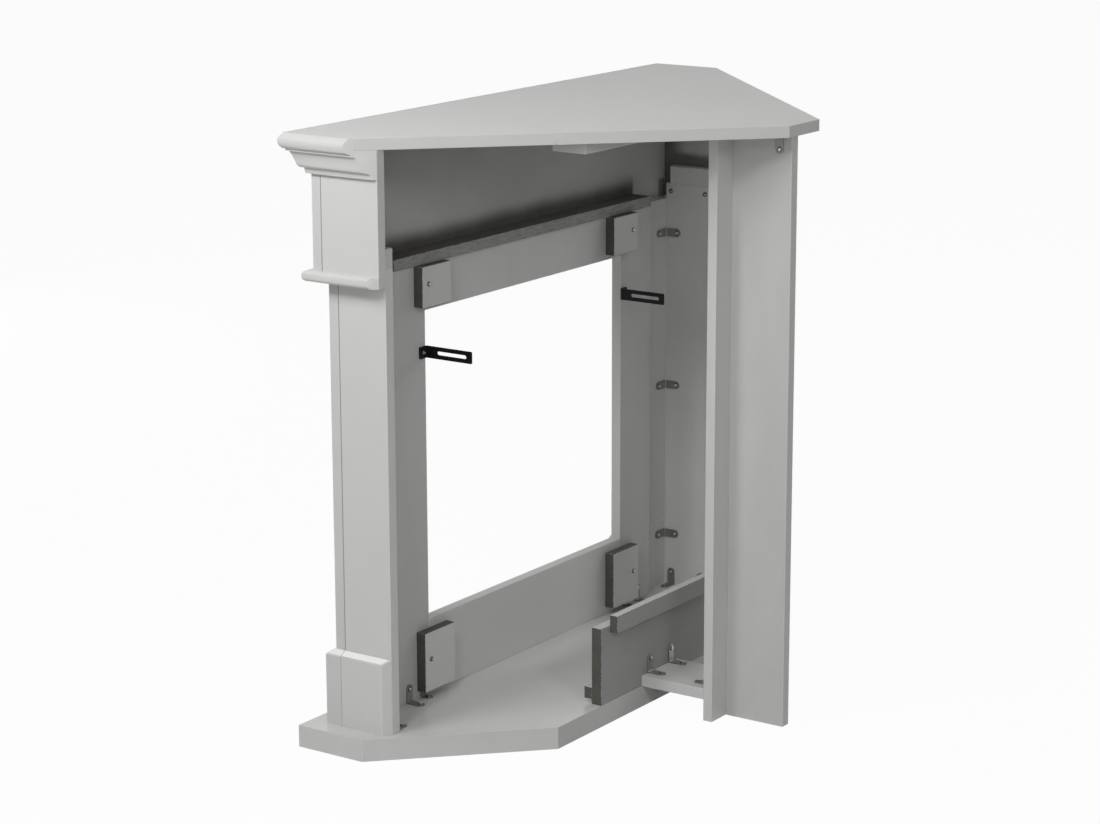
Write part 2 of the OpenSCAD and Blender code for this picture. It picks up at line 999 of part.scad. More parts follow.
module slot_outline() {
    mid = slot_start + slot_l / 2;
    straight = slot_l - slot_h;
    translate([mid - straight / 2, -slot_h / 2]) square([straight, slot_h]);
    for (end = [-straight / 2, straight / 2])
        translate([mid + end, 0]) circle(d = slot_h);
}

// A slotted arm that turns about the pivot screw in its foot
module insert_bracket_right() {
    color(black) in_place()
        translate([open_x - arm_inside, panel_back + swivel_clear, swivel_z]) {
            rotate([90, 0, 90])
                linear_extrude(arm_t)
                    difference() {
                        swivel_flat(arm_l);
                        slot_outline();
                    }
            translate([0, arm_t, 0])
                rotate([90, 0, 0])
                    linear_extrude(arm_t)
                        difference() {
                            swivel_flat(arm_foot_w);
                            translate([arm_foot_w / 2, 0]) circle(d = pivot_d + 2 * swivel_clear);
                        }
            translate([0, 0, -arm_h / 2]) linear_extrude(arm_h) bend(arm_bend_r, arm_t);
        }
}

module insert_bracket_left() {
    left() insert_bracket_right();
}

// ---------------------------------------------------------------- screws

module bracket_screws() {
    color(bright) in_place() {
        both_sides() {
            at_corner_brackets() both_fixings() screw(screw_d, screw_short);
            at_side_feet() both_fixings() screw(screw_d, screw_short);
            at_panel_foot() both_fixings() screw(screw_d, screw_short);
            at_short_foot() foot_fixing(short_foot) screw(screw_d, screw_short);
        }
        at_rail_brackets() both_fixings() screw(screw_d, screw_short);
        at_post_foot() both_fixings() screw(screw_d, screw_short);
        at_post_top() both_fixings() screw(screw_d, screw_short);
    }
}

module block_screws() {
    color(bright) in_place()
        both_sides() {
            at_upper_block_screw() screw(screw_d, screw_long);
            at_lower_block_screw() screw(screw_d, screw_long);
        }
}

module lap_screws() {
    color(bright) in_place() both_sides() at_lap_screws() screw(screw_d, screw_long);
}

// The heads of the pivot screws keep the arms on the panel with a running gap
module pivot_screws() {
    color(bright) in_place()
        both_sides()
            at_pivot() translate([0, 0, arm_t + 2 * swivel_clear]) screw(pivot_d, screw_short);
}

top_main();
top_rear();
top_seam_batten();
crown_front();
crown_left();
crown_right();
frieze_front();
frieze_left();
frieze_right();
bead_front();
bead_left();
bead_right();
frieze_soffit();
frieze_cleat_left();
frieze_cleat_right();
pilaster_front_left();
pilaster_front_right();
pilaster_side_left();
pilaster_side_right();
panel_stile_left();
panel_stile_right();
panel_header();
panel_sill();
plinth_front_left();
plinth_front_right();
plinth_side_left();
plinth_side_right();
base_plate();
block_upper_left();
block_upper_right();
block_lower_left();
block_lower_right();
rail();
rail_batten();
rail_cleat();
stretcher();
post_cross();
post_fin();
corner_brackets_left();
corner_brackets_right();
side_foot_brackets_left();
side_foot_brackets_right();
panel_foot_brackets();
rail_brackets();
post_foot_bracket();
post_top_bracket();
insert_bracket_left();
insert_bracket_right();
bracket_screws();
block_screws();
lap_screws();
pivot_screws();
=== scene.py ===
"""The looks of the corner fireplace surround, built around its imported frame."""

import math

import bmesh
import bpy
from bpy.props import FloatProperty, FloatVectorProperty, PointerProperty
from mathutils import Matrix, Vector


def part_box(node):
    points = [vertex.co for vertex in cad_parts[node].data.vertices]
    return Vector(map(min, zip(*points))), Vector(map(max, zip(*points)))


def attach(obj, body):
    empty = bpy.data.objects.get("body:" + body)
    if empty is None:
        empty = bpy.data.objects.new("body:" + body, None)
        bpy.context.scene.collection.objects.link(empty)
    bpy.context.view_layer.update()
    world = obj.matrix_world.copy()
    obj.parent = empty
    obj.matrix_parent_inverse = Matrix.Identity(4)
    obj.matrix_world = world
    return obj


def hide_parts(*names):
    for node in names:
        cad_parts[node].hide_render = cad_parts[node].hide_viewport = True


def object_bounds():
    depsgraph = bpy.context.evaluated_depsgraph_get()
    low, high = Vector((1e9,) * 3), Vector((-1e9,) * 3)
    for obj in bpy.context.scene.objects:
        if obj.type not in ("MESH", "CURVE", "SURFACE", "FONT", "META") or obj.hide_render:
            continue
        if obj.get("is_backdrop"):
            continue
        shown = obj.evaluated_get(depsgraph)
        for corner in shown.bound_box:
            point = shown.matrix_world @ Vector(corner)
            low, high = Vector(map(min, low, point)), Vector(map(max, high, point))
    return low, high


bl_info = {
    "name": "Corner Fireplace Surround",
    "version": (1, 0, 0),
    "blender": (4, 5, 0),
    "location": "3D View > Sidebar > Fireplace",
    "description": "Builds the boards, mouldings, fixings and finishes of a painted corner fireplace",
    "category": "Add Mesh",
}

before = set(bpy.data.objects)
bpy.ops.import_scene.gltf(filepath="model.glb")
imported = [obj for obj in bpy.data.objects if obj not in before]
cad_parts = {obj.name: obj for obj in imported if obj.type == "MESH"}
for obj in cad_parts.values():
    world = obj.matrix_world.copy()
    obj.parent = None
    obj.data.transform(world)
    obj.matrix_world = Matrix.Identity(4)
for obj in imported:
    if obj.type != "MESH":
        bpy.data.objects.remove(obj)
CAD_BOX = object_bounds()

MM = 0.001
ROOT = "surround"


# ---------------------------------------------------------------- shader maths

NOISE_RANGE = (0.3, 0.7)
MIX_FACTOR, MIX_FIRST, MIX_SECOND, MIX_RESULT = 0, 6, 7, 2


class Value:
    """A number or colour inside a material; arithmetic on it adds the Math nodes."""

    def __init__(self, finish, socket):
        self.finish = finish
        self.socket = socket

    def _math(self, operation, *values):
        return self.finish.node("ShaderNodeMath", dict(enumerate(values)), operation=operation)

    def __add__(self, other):
        return self._math("ADD", self, other)

    __radd__ = __add__

    def __sub__(self, other):
        return self._math("SUBTRACT", self, other)

    def __rsub__(self, other):
        return self._math("SUBTRACT", other, self)

    def __mul__(self, other):
        return self._math("MULTIPLY", self, other)

    __rmul__ = __mul__

    def __abs__(self):
        return self._math("ABSOLUTE", self)

    def stretched(self, low, high, to_low=0.0, to_high=1.0, kind="LINEAR"):
        """The part of the value from low to high, spread over to_low to to_high."""
        ends = {"From Min": low, "From Max": high, "To Min": to_low, "To Max": to_high}
        sockets = {"Value": self, **ends}
        return self.finish.node(
            "ShaderNodeMapRange", sockets, "Result", clamp=True, interpolation_type=kind
        )

    def spread(self, to_low, to_high):
        """The usual range of a noise, spread over to_low to to_high."""
        return self.stretched(*NOISE_RANGE, to_low, to_high)


class Finish:
    """The nodes of a material or of the world, with one method that makes them."""

    def __init__(self, owner):
        owner.use_nodes = True
        self.tree = owner.node_tree
        self.tree.nodes.clear()

    def node(self, kind, sockets=None, output=0, **settings):
        """Makes a node, applies its settings, fills its sockets and gives back one output."""
        made = self.tree.nodes.new(kind)
        for key, value in settings.items():
            setattr(made, key, value)
        for key, value in (sockets or {}).items():
            if isinstance(value, Value):
                self.tree.links.new(value.socket, made.inputs[key])
            else:
                made.inputs[key].default_value = value
        return Value(self, made.outputs[output]) if made.outputs else None

    def place(self):
        return self.node("ShaderNodeTexCoord", output="Object")

    def along(self, axis):
        """How far along the object's X, Y or Z the surface is."""
        return self.node("ShaderNodeSeparateXYZ", {"Vector": self.place()}, axis)

    def noise(self, scale, detail=2.0, roughness=0.5, place=None):
        sockets = {
            "Vector": place or self.place(),
            "Scale": scale,
            "Detail": detail,
            "Roughness": roughness,
        }
        return self.node("ShaderNodeTexNoise", sockets)

    def streaks(self, scales, detail, roughness):
        """Noise with a scale of its own along each of X, Y and Z."""
        sockets = {0: self.place(), 1: scales}
        place = self.node("ShaderNodeVectorMath", sockets, operation="MULTIPLY")
        return self.noise(1.0, detail, roughness, place)

    def mix(self, factor, first, second):
        """The first colour where the factor is 0 and the second where it is 1."""
        sockets = {MIX_FACTOR: factor, MIX_FIRST: first, MIX_SECOND: second}
        settings = {"data_type": "RGBA", "clamp_factor": True}
        return self.node("ShaderNodeMix", sockets, MIX_RESULT, **settings)

    def tinted(self, colour, value):
        """The colour, made lighter or darker by a value around 1."""
        sockets = {0: tuple(colour), "Scale": value}
        return self.node("ShaderNodeVectorMath", sockets, operation="SCALE")

    def bump(self, height, distance):
        return self.node("ShaderNodeBump", {"Height": height, "Distance": distance})

    def surface(self, **sockets):
        """The finish's one shader; the keys are socket names with _ for a space."""
        named = {key.replace("_", " "): value for key, value in sockets.items()}
        shader = self.node("ShaderNodeBsdfPrincipled", named)
        self.node("ShaderNodeOutputMaterial", {"Surface": shader})


def uneven(*parts, middle=1.0):
    """A tone around the middle, moved up and down by each noise's share."""
    tone = middle
    for noise, share in parts:
        tone = tone + (noise - 0.5) * share
    return tone


def rgba(colour, scale=1.0):
    return (colour[0] * scale, colour[1] * scale, colour[2] * scale, 1.0)


# ---------------------------------------------------------------- settings


def colour_setting(name, description, default):
    return FloatVectorProperty(
        name=name, description=description, default=default, subtype="COLOR", min=0.0, max=1.0
    )


def size_setting(name, description, default):
    return FloatProperty(
        name=name, description=description, default=default, unit="LENGTH", min=0.0, max=20 * MM
    )


def angle_setting(name, description, degrees):
    return FloatProperty(
        name=name, description=description, default=math.radians(degrees), unit="ROTATION"
    )


def power_setting(name, default):
    description = f"Power of the {name.lower()}"
    return FloatProperty(name=name, description=description, default=default, unit="POWER")


def share_setting(name, description, default):
    return FloatProperty(name=name, description=description, default=default, min=0.0, max=1.0)


class PaintSettings(bpy.types.PropertyGroup):
    """Colours and edges of the painted and the raw board."""

    face: colour_setting("Paint", "Satin paint on the outer faces", (0.630, 0.630, 0.620))
    inside: colour_setting("Thin paint", "Sprayed paint on the inner faces", (0.545, 0.545, 0.535))
    # Much lighter than the paint: a painted highlight on the plinths' bevels, where the lamps catch
    # them.
    pooled: colour_setting("Pooled paint", "Thick paint on the plinths' bevels", (0.92, 0.92, 0.91))
    # Dark for the dust in a joint's V, and as painted shade of the groove.
    joint: colour_setting("Joint", "Dust in the small V of a board joint", (0.33, 0.33, 0.32))
    # Far darker than the thin paint: partly a duller coat, partly painted shade on the rail.
    dull: colour_setting("Dull paint", "Single coat on the rear rail", (0.33, 0.33, 0.325))
    raw: colour_setting("Raw board", "Sealed raw fibreboard", (0.079, 0.077, 0.068))
    raw_light: colour_setting("Raw fibres", "Fibres in the raw board", (0.152, 0.146, 0.126))
    arris: size_setting("Arris", "Width of the eased edges of painted boards", 0.9 * MM)
    plinth_arris: size_setting("Plinth arris", "Width of the plinths' rounded edges", 1.8 * MM)
    raw_arris: size_setting("Raw arris", "Width of the eased edges of sawn boards", 0.4 * MM)
    moulding_arris: size_setting("Moulding arris", "Width of the mouldings' eased edges", 0.4 * MM)
    peel: size_setting("Orange peel", "Height of the paint's fine unevenness", 0.05 * MM)


class SteelSettings(bpy.types.PropertyGroup):
    """Colours and edges of the metal pieces."""

    zinc: colour_setting("Zinc", "Zinc-plated angle brackets", (0.27, 0.27, 0.27))
    # Screw middles: partly the steel, partly a painted highlight. Screw rims: darker steel, partly
    # painted shade round the heads.
    bright: colour_setting("Screw middles", "Steel rubbed bright by the driver", (0.60, 0.60, 0.59))
    dark: colour_setting("Screw rims", "Dulled steel of the screw heads", (0.11, 0.11, 0.108))
    black: colour_setting("Black coat", "Powder coat on the slotted arms", (0.008, 0.008, 0.008))
    arris: size_setting("Arris", "Width of the eased edges of the steel", 0.25 * MM)
    rim: size_setting("Rim", "Upright edge of a screw head", 0.5 * MM)
    wing: size_setting("Wing", "Width of the crossed slots of a screw's recess", 1.0 * MM)
    recess: size_setting("Recess", "Depth of a screw's recess", 1.5 * MM)


class StageSettings(bpy.types.PropertyGroup):
    """Camera, lamps and backdrop."""

    azimuth: angle_setting("Azimuth", "Bearing of the view", 124.600)
    elevation: angle_setting("Elevation", "Tilt of the view", -13.538)
    roll: angle_setting("Roll", "Roll of the view", -0.161)
    position: FloatVectorProperty(
        name="Position",
        description="Place of the camera",
        default=(3.8157, 2.4645, 1.5626),
        unit="LENGTH",
    )
    lens: FloatProperty(
        name="Lens", description="Focal length on a 36 mm frame", default=95.94, unit="CAMERA"
    )
    ambient: share_setting("Ambient", "Light from all around", 0.11)
    key: power_setting("Key lamp", 24.5)
    side: power_setting("Side lamp", 13.9)
    front: power_setting("Front lamp", 30.0)
    low: power_setting("Low lamp", 2.9)
    rear: power_setting("Rear lamp", 20.7)
    far: power_setting("Far lamp", 21.1)
    backdrop: share_setting("Backdrop", "Share of plain white in the floor as seen", 0.96)


def paint():
    return bpy.context.scene.fireplace_paint


def steel():
    return bpy.context.scene.fireplace_steel


# ---------------------------------------------------------------- finishes

FINISHES = {}


def finish_of(maker):
    """Makes each finish once, under its function's name, and hands it out after that."""

    def made():
        if maker.__name__ not in FINISHES:
            material = bpy.data.materials.new(maker.__name__)
            maker(Finish(material))
            FINISHES[maker.__name__] = material
        return FINISHES[maker.__name__]

    return made


def rolled_paint(finish, colour, smoothest, roughest, sheen=0.35, peeling=1.0):
    """Rolled paint: clouds of tone, a fine orange peel and a little uneven gloss."""
    clouds = finish.noise(4.0, 3.0)
    mottle = finish.noise(48.0, 4.0, 0.6)
    peel = finish.noise(620.0)
    finish.surface(
        Base_Color=finish.tinted(colour, uneven((clouds, 0.06), (mottle, 0.03))),
        Roughness=(mottle * 0.6 + peel * 0.4).stretched(0.35, 0.65, smoothest, roughest),
        Normal=finish.bump(peel + mottle * 0.5, paint().peel * peeling),
        Specular_IOR_Level=sheen,
    )


@finish_of
def satin_paint(finish):
    rolled_paint(finish, paint().face, 0.36, 0.48)


@finish_of
def glossy_paint(finish):
    rolled_paint(finish, paint().face, 0.275, 0.285, sheen=0.5, peeling=0.02)


# The plinths' bevels in a paint much lighter than the faces, as a painted highlight.
@finish_of
def pooled_paint(finish):
    rolled_paint(finish, paint().pooled, 0.30, 0.42)


@finish_of
def thin_paint(finish):
    """Sprayed paint on the inner faces: flatter, and patchy where the board drank it."""
    patches = finish.noise(9.0, 5.0, 0.65)
    streaks = finish.streaks((26.0, 26.0, 5.0), 3.0, 0.6)
    speck = finish.noise(900.0)
    tone = uneven((patches, 0.13), (streaks, 0.09), (speck, 0.05))
    finish.surface(
        Base_Color=finish.tinted(paint().inside, tone),
        Roughness=patches.spread(0.58, 0.74),
        Normal=finish.bump(speck + patches * 0.4, paint().peel),
        Specular_IOR_Level=0.3,
    )


@finish_of
def edge_paint(finish):
    """Paint that has sunk into a sawn edge: duller, with the fibres showing through."""
    fibres = finish.streaks((700.0, 700.0, 260.0), 4.0, 0.65)
    clouds = finish.noise(14.0, 3.0)
    tone = uneven((clouds, 0.06), (fibres, 0.07), middle=0.975)
    finish.surface(
        Base_Color=finish.tinted(paint().face, tone),
        Roughness=fibres.spread(0.5, 0.68),
        Normal=finish.bump(fibres, 0.12 * MM),
        Specular_IOR_Level=0.3,
    )


@finish_of
def rubbed_arris(finish):
    """The eased edges: paint rubbed a little thinner, with small bare nicks, and a touch lighter than
    the faces as a faint painted highlight along them.
    """
    rubs = finish.noise(70.0, 5.0, 0.7)
    nicks = rubs.stretched(0.70, 0.76)
    finish.surface(
        Base_Color=finish.mix(nicks * 0.6, rgba(paint().face, 1.04), rgba(paint().raw, 4.0)),
        Roughness=rubs.spread(0.42, 0.6),
        Specular_IOR_Level=0.35,
    )


@finish_of
def dusty_joint(finish):
    """The V of a board joint: dust, and painted shade where the groove lies in shadow."""
    dust = finish.noise(120.0, 4.0, 0.6)
    finish.surface(
        Base_Color=finish.tinted(paint().joint, uneven((dust, 0.4))),
        Roughness=dust.spread(0.7, 0.9),
        Specular_IOR_Level=0.2,
    )


def fibreboard(finish):
    """Colour and bump height of raw fibreboard: dark, speckled with fibres, in soft layers."""
    fibres = finish.streaks((900.0, 900.0, 1300.0), 5.0, 0.7)
    clouds = finish.noise(30.0, 4.0, 0.6)
    specks = (fibres * 0.75 + clouds * 0.25).stretched(0.44, 0.68)
    return finish.mix(specks, rgba(paint().raw), rgba(paint().raw_light)), fibres


@finish_of
def raw_board(finish):
    colour, fibres = fibreboard(finish)
    finish.surface(
        Base_Color=colour,
        Roughness=fibres.spread(0.75, 0.92),
        Normal=finish.bump(fibres, 0.25 * MM),
        Specular_IOR_Level=0.2,
    )


def sprayed_over(finish, cover, depth):
    """Raw board where cover is 0, and a cloudy coat of sprayed paint where it is 1."""
    bare, fibres = fibreboard(finish)
    coat = finish.tinted(paint().inside, depth * uneven((finish.noise(11.0, 3.0), 0.22)))
    finish.surface(
        Base_Color=finish.mix(cover, bare, coat),
        Roughness=fibres.spread(0.62, 0.82),
        Normal=finish.bump(fibres, 0.1 * MM),
        Specular_IOR_Level=0.25,
    )


@finish_of
def frieze_inside(finish):
    """Bare board just above the soffit, partly unsprayed and partly painted shade behind it, fading
    into sprayed paint; the paint darker upwards as painted shade under the top, and half as light
    beside the pilaster's lap below its top.
    """
    across = abs(finish.along("X"))
    height = finish.along("Z")
    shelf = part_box("frieze_soffit")[1]
    drift = uneven((finish.noise(7.0), 14 * MM), middle=-shelf.z)
    # Bare board fades into paint from 6 to 36 mm above the soffit: partly unsprayed board, partly
    # painted shade behind the soffit.
    faded = (height + drift).stretched(6 * MM, 36 * MM, kind="SMOOTHSTEP")
    beyond = across.stretched(shelf.x + 2 * MM, shelf.x + 8 * MM)
    # The coat darkens upwards: painted shade under the top boards.
    depth = height.stretched(shelf.z + 40 * MM, shelf.z + 180 * MM, 0.86, 0.66)
    lap_low, lap_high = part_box("pilaster_side_right")
    beside_lap = across.stretched(lap_low.x - 2 * MM, lap_low.x + 1 * MM)
    above_lap = height.stretched(lap_high.z + 3 * MM, lap_high.z + 8 * MM)
    coat_tone_and_shade = depth * (1 - beside_lap * (1 - above_lap) * 0.5)
    sprayed_over(finish, 1 - (1 - faded) * (1 - beyond), coat_tone_and_shade)


@finish_of
def frieze_side_inside(finish):
    """Bare board in the inner corner and in the strip just above the cleat, partly paint that did not
    reach and partly painted shade there; sprayed paint elsewhere.
    """
    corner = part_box("frieze_front")[1].y
    cleat_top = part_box("frieze_cleat_right")[1].z
    drift = uneven((finish.noise(14.0, 3.0), 30 * MM), middle=0.0)
    from_corner = finish.along("Y") - corner + drift
    from_cleat = finish.along("Z") - cleat_top + drift
    reached = from_corner.stretched(8 * MM, 50 * MM, kind="SMOOTHSTEP")
    above = from_cleat.stretched(12 * MM, 26 * MM, kind="SMOOTHSTEP")
    sprayed_over(finish, 0.12 + reached * above * 0.88, 0.78)


@finish_of
def half_bare_edge(finish):
    """A sawn edge that was only dusted with paint, with dark streaks of board in it."""
    bare, fibres = fibreboard(finish)
    streaks = finish.streaks((60.0, 420.0, 420.0), 5.0, 0.7)
    cover = streaks.stretched(0.30, 0.62, 0.28, 0.66)
    finish.surface(
        Base_Color=finish.mix(cover, bare, rgba(paint().inside, 0.8)),
        Roughness=fibres.spread(0.66, 0.86),
        Normal=finish.bump(fibres, 0.2 * MM),
        Specular_IOR_Level=0.2,
    )


@finish_of
def dull_paint(finish):
    """The one thin coat on the rail, its batten and its cleat, grey and cloudy; its dark grey is
    partly a duller coat and partly painted shade, for light the rail gets little of from below.
    """
    clouds = finish.noise(7.0, 4.0, 0.6)
    streaks = finish.streaks((6.0, 30.0, 45.0), 4.0, 0.6)
    speck = finish.noise(900.0)
    tone = uneven((clouds, 0.20), (streaks, 0.14), (speck, 0.06))
    finish.surface(
        Base_Color=finish.tinted(paint().dull, tone),
        Roughness=clouds.spread(0.62, 0.8),
        Normal=finish.bump(speck + clouds * 0.4, paint().peel),
        Specular_IOR_Level=0.25,
    )


@finish_of
def ragged_arris(finish):
    """The edge between a sprayed face and a bare end, where paint and board meet unevenly."""
    bare, fibres = fibreboard(finish)
    rags = finish.noise(190.0, 4.0, 0.7).stretched(0.47, 0.55)
    finish.surface(
        Base_Color=finish.mix(rags, bare, rgba(paint().inside, 0.85)),
        Roughness=fibres.spread(0.6, 0.8),
        Specular_IOR_Level=0.25,
    )


@finish_of
def zinc_plate(finish):
    """Zinc plating: faint crystal patches and scuffs."""
    cells = {"Vector": finish.place(), "Scale": 320.0}
    patches = finish.node("ShaderNodeTexVoronoi", cells, "Color", feature="F1")
    patch = finish.node("ShaderNodeRGBToBW", {"Color": patches})
    scuffs = finish.noise(900.0, 4.0, 0.65)
    finish.surface(
        Base_Color=finish.tinted(steel().zinc, uneven((patch, 0.25), (scuffs, 0.3), middle=0.975)),
        Metallic=0.7,
        Roughness=(patch * 0.5 + scuffs * 0.5).stretched(0.2, 0.8, 0.36, 0.56),
        Normal=finish.bump(scuffs, 0.03 * MM),
    )


def scuffed_steel(finish, colour):
    scuffs = finish.noise(1500.0, 4.0, 0.6)
    finish.surface(
        Base_Color=finish.tinted(colour, uneven((scuffs, 0.16), middle=0.98)),
        Metallic=1.0,
        Roughness=scuffs.spread(0.24, 0.40),
        Normal=finish.bump(scuffs, 0.01 * MM),
    )


# Bright middles of the screw heads, partly a painted highlight; dark rims and shanks, partly painted
# shade.
@finish_of
def bright_steel(finish):
    scuffed_steel(finish, steel().bright)


@finish_of
def dark_steel(finish):
    scuffed_steel(finish, steel().dark)


@finish_of
def black_coat(finish):
    """Black powder coat: fine leathery grain, a trace greyer where it is rubbed."""
    grain = finish.noise(1400.0, 3.0, 0.55)
    rubs = finish.noise(90.0, 4.0, 0.65).stretched(0.55, 0.78)
    finish.surface(
        Base_Color=finish.mix(rubs * 0.5, rgba(steel().black), rgba(steel().black, 3.0)),
        Roughness=grain.spread(0.42, 0.6),
        Normal=finish.bump(grain, 0.03 * MM),
        Specular_IOR_Level=0.12,
    )


# ---------------------------------------------------------------- mesh tools

# The places of a board's finishes in its list of materials
ACROSS, EDGE, ARRIS, NARROW, END, BACK, SLOPE = range(7)

# How much of a face's normal lies along an axis if the face looks that way
FACING = 0.9
ENDWISE = 0.6
SLOPING = (0.3, 0.95)

WELD = 0.002 * MM
TOUCH = 0.2 * MM
LEVEL = 1 * MM
CHAMFER = 1.5 * MM
FLATTEST_BEND = math.radians(0.3)
CHAMFER_BEND = math.radians(30)
SHADED_BEND = math.radians(38)
ROOM_TO_EASE = 2.2


def welded(node):
    """The node's solid with one vertex at each corner and each flat in one piece."""
    mesh = bmesh.new()
    mesh.from_mesh(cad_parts[node].data)
    bmesh.ops.remove_doubles(mesh, verts=mesh.verts, dist=WELD)
    bmesh.ops.dissolve_limit(
        mesh, angle_limit=FLATTEST_BEND, verts=mesh.verts, edges=mesh.edges, delimit={"NORMAL"}
    )
    for face in mesh.faces:
        face.material_index = 0
    return mesh


def width_of(face):
    return face.calc_area() / max(edge.calc_length() for edge in face.edges)


def is_chamfer(face):
    """Whether a face is a narrow cut along an edge, not one facet of a round."""
    long_edges = [edge for edge in face.edges if edge.calc_length() > 2 * CHAMFER]
    bends = sorted(edge.calc_face_angle(0) for edge in long_edges)
    return width_of(face) < CHAMFER and len(bends) > 1 and bends[-2] > CHAMFER_BEND


def in_box(point, box):
    low, high = box
    return all(low[axis] - TOUCH < point[axis] < high[axis] + TOUCH for axis in range(3))


def lies_in(edge, boxes):
    """Whether an edge lies in or against one of the boxes."""
    return any(all(in_box(vertex.co, box) for vertex in edge.verts) for box in boxes)


def is_level(edge):
    return abs(edge.verts[0].co.z - edge.verts[1].co.z) < LEVEL


def ease(mesh, width, material=-1, sharpest=28, shortest=0.0, wanted=None):
    """Rounds the long sharp edges a little, as sanding and paint do, but not beside a strip."""
    edges = [
        edge
        for edge in mesh.edges
        if len(edge.link_faces) == 2
        and edge.calc_face_angle() > math.radians(sharpest)
        and edge.calc_length() > shortest
        and min(width_of(face) for face in edge.link_faces) > ROOM_TO_EASE * width
        and (wanted is None or wanted(edge))
    ]
    bmesh.ops.bevel(
        mesh,
        geom=edges,
        offset=width,
        segments=2,
        profile=0.5,
        affect="EDGES",
        clamp_overlap=True,
        material=material,
    )


def placed(name, mesh):
    """Puts a mesh into the scene as an object."""
    data = bpy.data.meshes.new(name)
    mesh.to_mesh(data)
    mesh.free()
    thing = bpy.data.objects.new(name, data)
    bpy.context.scene.collection.objects.link(thing)
    return thing


def finished(node, mesh, materials, slot, body=ROOT):
    """Turns a mesh into the piece that stands for a node and rides on its body."""
    piece = placed(node + "_finished", mesh)
    for material in materials:
        piece.data.materials.append(material)
    piece.data.shade_smooth()
    piece.data.set_sharp_from_angle(angle=SHADED_BEND)
    piece.modifiers.new("flat_faces", "WEIGHTED_NORMAL").keep_sharp = True
    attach(piece, body)
    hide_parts(node)
    return piece


def sort_faces(mesh, node, thin_behind):
    """Tells a board's faces apart by the way they look; the eased edges are left as they are."""
    low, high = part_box(node)
    size = high - low
    across, _, along = sorted(range(3), key=lambda axis: size[axis])
    outward = 1 if (low + high)[across] > 0 else -1
    for face in mesh.faces:
        if face.material_index != EDGE:
            continue
        lean = face.normal[across] * outward
        if abs(lean) > FACING:
            face.material_index = ACROSS if lean > 0 else BACK
        elif thin_behind and face.normal.y > FACING:
            face.material_index = BACK
        elif SLOPING[0] < face.normal.z < SLOPING[1]:
            face.material_index = SLOPE
        elif abs(face.normal[along]) > ENDWISE:
            face.material_index = END


def board(
    node,
    slot,
    arris,
    front,
    back,
    edge,
    end,
    worn=None,
    slope=None,
    beside=(),
    glued=(),
    thin_behind=False,
):
    """A board with eased edges. Its front is the face away from the object's middle.

    The edges against the boards beside it are eased less and make a joint line, and a level
    seam with the boards glued to it is filled. A board that is thin behind has the finish of
    its back on the edge that faces the room's corner as well."""
    mesh = welded(node)
    chamfers = {face for face in mesh.faces if is_chamfer(face)}
    for face in mesh.faces:
        face.material_index = NARROW if face in chamfers else EDGE
    joints = [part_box(other) for other in beside]
    seams = [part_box(other) for other in glued]

    def in_joint(line):
        return lies_in(line, joints)

    def is_free(line):
        return not in_joint(line) and not (is_level(line) and lies_in(line, seams))

    shortest = 4 * MM
    ease(mesh, arris, ARRIS, shortest=shortest, wanted=is_free)
    ease(mesh, paint().raw_arris, NARROW, shortest=shortest, wanted=in_joint)
    mesh.normal_update()
    sort_faces(mesh, node, thin_behind)
    materials = [front, edge, worn or rubbed_arris(), dusty_joint(), end, back, slope or edge]
    return finished(node, mesh, materials, slot)


def painted_board(node, back=None, front=None, arris=None, **options):
    """A board painted all over, with its front and its back as given."""
    return board(
        node,
        "paint",
        arris or paint().arris,
        front=front or satin_paint(),
        back=back or thin_paint(),
        edge=edge_paint(),
        end=edge_paint(),
        **options,
    )


def sawn_board(node, end, edge, face=None):
    """A small inner board: thinly painted on its flats, with its edges and ends as given."""
    flat = face or thin_paint()
    finishes = {"front": flat, "back": flat, "edge": edge, "end": end, "worn": ragged_arris()}
    return board(node, "paint_inside", paint().raw_arris, **finishes)


def moulding(node):
    """A moulding with its profile's corners softened by paint."""
    mesh = welded(node)
    ease(mesh, paint().moulding_arris, 1, sharpest=40, shortest=6 * MM)
    return finished(node, mesh, [satin_paint(), rubbed_arris()], "paint")


def steel_piece(node, finish, slot, body=ROOT):
    """A steel piece with its stamped edges eased."""
    mesh = welded(node)
    ease(mesh, steel().arris, sharpest=60)
    return finished(node, mesh, [finish], slot, body)


def both(*names):
    """The names with _left and _right added."""
    return [name + side for name in names for side in ("_left", "_right")]


# ---------------------------------------------------------------- boards and mouldings


class FIREPLACE_OT_top(bpy.types.Operator):
    """Finish the two top boards, the batten under their seam and the crown moulding"""

    bl_idname = "fireplace.top"
    bl_label = "Top and crown"

    def execute(self, context):
        painted_board("top_main", glued=["top_rear"])
        painted_board("top_rear", glued=["top_main"])
        painted_board("top_seam_batten")
        for node in ["crown_front", *both("crown")]:
            moulding(node)
        return {"FINISHED"}


class FIREPLACE_OT_frieze(bpy.types.Operator):
    """Finish the frieze, its soffit, its cleats and its bead"""

    bl_idname = "fireplace.frieze"
    bl_label = "Frieze and bead"

    def execute(self, context):
        painted_board("frieze_front", back=frieze_inside())
        for node in both("frieze"):
            painted_board(node, back=frieze_side_inside())
        for node in ["bead_front", *both("bead")]:
            moulding(node)
        board(
            "frieze_soffit",
            "paint_inside",
            paint().raw_arris,
            front=raw_board(),
            back=thin_paint(),
            edge=half_bare_edge(),
            end=half_bare_edge(),
            worn=ragged_arris(),
        )
        for node in both("frieze_cleat"):
            sawn_board(node, thin_paint(), thin_paint())
        return {"FINISHED"}


